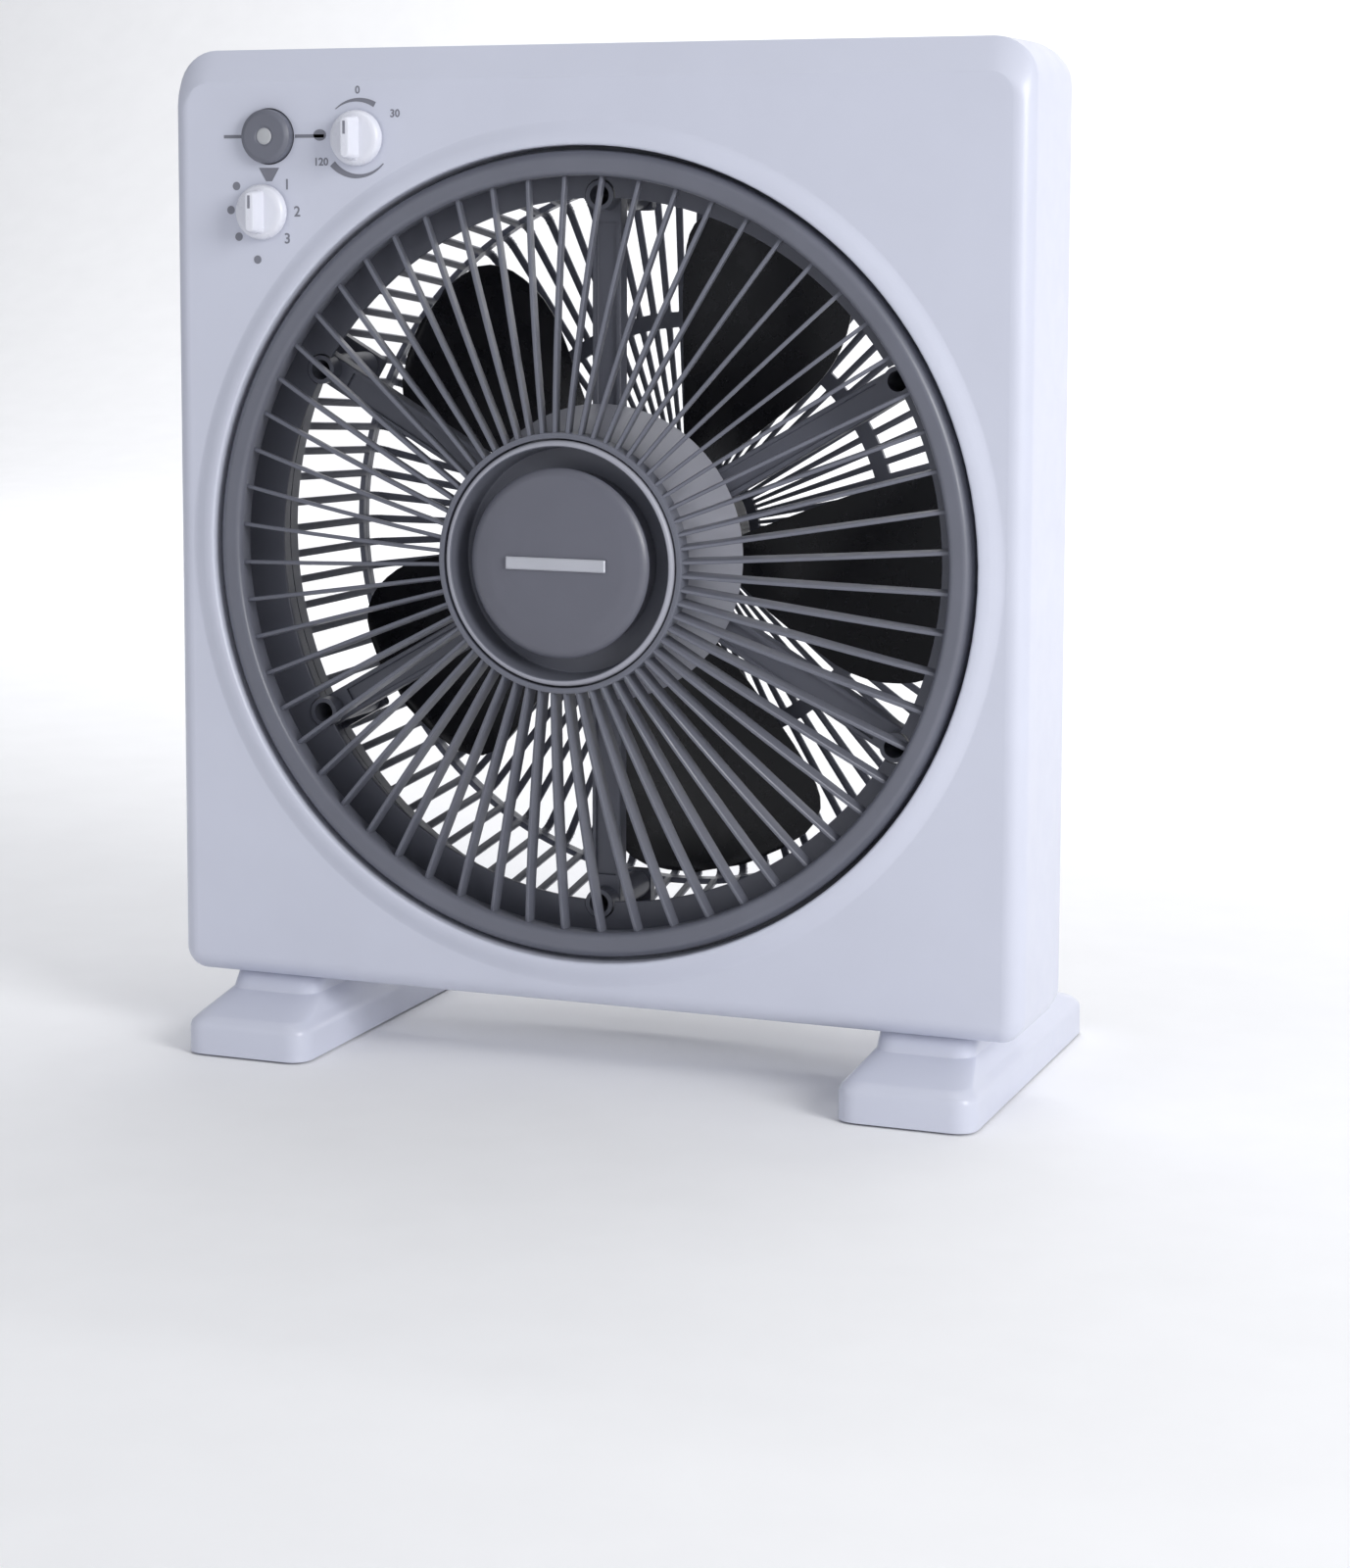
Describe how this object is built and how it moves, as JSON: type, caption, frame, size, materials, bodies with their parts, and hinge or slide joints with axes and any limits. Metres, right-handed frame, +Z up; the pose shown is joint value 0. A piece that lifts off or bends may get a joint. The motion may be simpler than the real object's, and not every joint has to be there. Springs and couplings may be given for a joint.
{
  "type": "box fan",
  "caption": "Free-standing box fan: square housing on two feet, rotating louvre over a bladed rotor, drum-shaped rear guard, two dials and a push-button.",
  "frame": {"origin": "on the floor, under the middle of the housing's width and of the feet's length", "axes": "+Z up, -Y towards the front with the louvre, +X towards the fan's right-hand side seen from the front"},
  "size_m": [0.38, 0.1928, 0.434],
  "materials": {
    "housing_white": "satin",
    "louvre_grey": "satin",
    "hub_grey": "satin",
    "badge_silver": "gloss",
    "blade_black": "semi-gloss",
    "knob_white": "semi-gloss",
    "steel": "zinc plated",
    "zinc_shell": "galvanised",
    "lamination": "oxidised",
    "copper": "enamelled wire",
    "bronze": "sintered",
    "switch_black": "matte",
    "rubber": "matte"
  },
  "bodies": {
    "root": {"front_housing": "housing_white", "rear_housing": "housing_white", "carry_handle": "housing_white", "cord_gland": "rubber", "duct_ring": "louvre_grey", "motor_spider": "louvre_grey", "rear_guard_wall": "louvre_grey", "rear_guard_grid": "louvre_grey", "motor_front_shell": "zinc_shell", "motor_rear_shell": "zinc_shell", "front_bearing": "bronze", "rear_bearing": "bronze", "stator_core": "lamination", "winding_front": "copper", "winding_rear": "copper", "run_capacitor": "switch_black", "louvre_motor_case": "zinc_shell", "louvre_motor_lid": "zinc_shell", "timer_case": "switch_black", "speed_switch_case": "switch_black", "louvre_button_spring": "steel", "louvre_switch_case": "switch_black", "switch_bracket": "zinc_shell", "foot_left": "housing_white", "foot_right": "housing_white", "motor_screw_1": "steel", "motor_screw_2": "steel", "motor_screw_3": "steel", "housing_screw_1": "steel", "housing_screw_2": "steel", "housing_screw_3": "steel", "housing_screw_4": "steel", "foot_screw_1": "steel", "foot_screw_2": "steel", "foot_pad_1": "rubber", "foot_pad_2": "rubber", "foot_pad_3": "rubber", "foot_pad_4": "rubber", "spider_screw_1": "steel", "spider_screw_2": "steel", "spider_screw_3": "steel", "spider_screw_4": "steel", "spider_screw_5": "steel", "spider_screw_6": "steel"},
    "rotor": {"fan_rotor": "blade_black", "rotor_nut": "blade_black", "motor_shaft": "steel", "rotor_core": "lamination"},
    "louvre": {"louvre_grille": "louvre_grey", "louvre_hub": "louvre_grey", "louvre_cap": "hub_grey", "louvre_badge": "badge_silver", "louvre_hub_screw": "steel", "louvre_motor_shaft": "steel"},
    "timer_dial": {"timer_knob": "knob_white", "timer_spindle": "steel"},
    "speed_dial": {"speed_knob": "knob_white", "speed_spindle": "steel"},
    "button": {"louvre_button": "louvre_grey"}
  },
  "joints": [
    {"name": "rotor_spin", "type": "hinge", "parent": "root", "child": "rotor", "pos_m": [0, 0.021, 0.222], "axis": [0, 1, 0], "continuous": true},
    {"name": "louvre_spin", "type": "hinge", "parent": "root", "child": "louvre", "pos_m": [0, -0.071, 0.222], "axis": [0, 1, 0], "continuous": true},
    {"name": "timer_knob_turn", "type": "hinge", "parent": "root", "child": "timer_dial", "pos_m": [-0.101, -0.071, 0.396], "axis": [0, 1, 0], "range_deg": [0, 300]},
    {"name": "speed_knob_turn", "type": "hinge", "parent": "root", "child": "speed_dial", "pos_m": [-0.146, -0.071, 0.365], "axis": [0, 1, 0], "range_deg": [0, 135]},
    {"name": "louvre_button_press", "type": "slide", "parent": "root", "child": "button", "axis": [0, 1, 0], "range_m": [0, 0.003], "stiffness_N_per_m": 300, "springref_m": -0.003}
  ]
}
